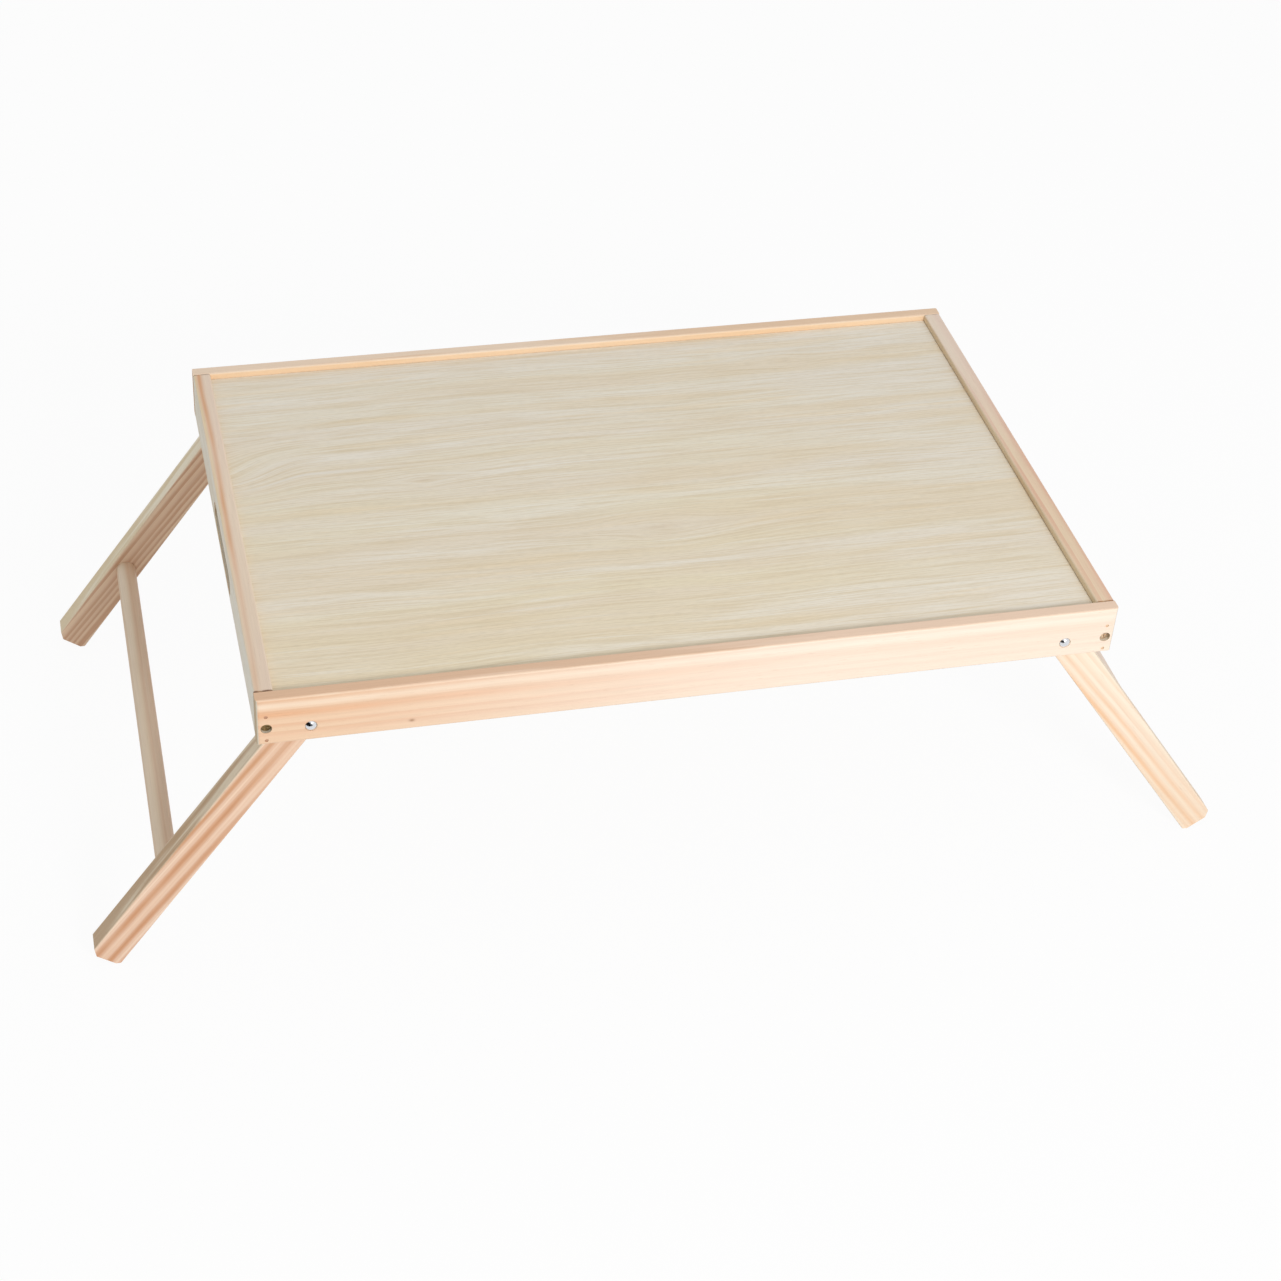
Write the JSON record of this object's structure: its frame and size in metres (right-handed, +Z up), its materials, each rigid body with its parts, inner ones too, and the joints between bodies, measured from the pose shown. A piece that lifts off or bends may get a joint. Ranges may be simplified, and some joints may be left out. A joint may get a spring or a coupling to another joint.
{
  "type": "folding laptop table",
  "caption": "Pine lap table with a sunk top panel, hand slots in its end rails and splayed leg frames that fold up flat inside the tray.",
  "frame": {"origin": "on the floor, under the centre of the tray, with both leg frames open", "axes": "+X along the tray's length to the right, +Y to the back, +Z up"},
  "size_m": [0.8364, 0.4032, 0.2368],
  "materials": {
    "rail_pine": "planed pine, clear satin coat",
    "leg_pine": "planed pine, clear satin coat",
    "rod_pine": "turned pine, bare",
    "top_laminate": "pale wood-grain board, matt",
    "bright_nickel": "bright nickel plate",
    "dark_zinc": "dulled yellow zinc plate"
  },
  "bodies": {
    "tray": {"front_rail": "rail_pine", "back_rail": "rail_pine", "left_end_rail": "rail_pine", "right_end_rail": "rail_pine", "top_panel": "top_laminate", "corner_screw_front_left": "dark_zinc", "corner_screw_front_right": "dark_zinc", "corner_screw_back_left": "dark_zinc", "corner_screw_back_right": "dark_zinc", "corner_brads_front_left": "dark_zinc", "corner_brads_front_right": "dark_zinc", "corner_brads_back_left": "dark_zinc", "corner_brads_back_right": "dark_zinc", "pivot_rivet_front_left": "bright_nickel", "pivot_rivet_front_right": "bright_nickel", "pivot_rivet_back_left": "bright_nickel", "pivot_rivet_back_right": "bright_nickel", "spacer_washer_front_left": "bright_nickel", "spacer_washer_front_right": "bright_nickel", "spacer_washer_back_left": "bright_nickel", "spacer_washer_back_right": "bright_nickel", "end_washer_front_left": "bright_nickel", "end_washer_front_right": "bright_nickel", "end_washer_back_left": "bright_nickel", "end_washer_back_right": "bright_nickel"},
    "left_leg_frame": {"leg_front_left": "leg_pine", "leg_back_left": "leg_pine", "left_spreader": "rod_pine"},
    "right_leg_frame": {"leg_front_right": "leg_pine", "leg_back_right": "leg_pine", "right_spreader": "rod_pine"}
  },
  "joints": [
    {"name": "left_leg_fold", "type": "hinge", "parent": "tray", "child": "left_leg_frame", "pos_m": [-0.264, 0, 0.21075], "axis": [0, -1, 0], "range_deg": [0, 125.62]},
    {"name": "right_leg_fold", "type": "hinge", "parent": "tray", "child": "right_leg_frame", "pos_m": [0.264, 0, 0.21075], "axis": [0, 1, 0], "range_deg": [0, 125.62]}
  ]
}
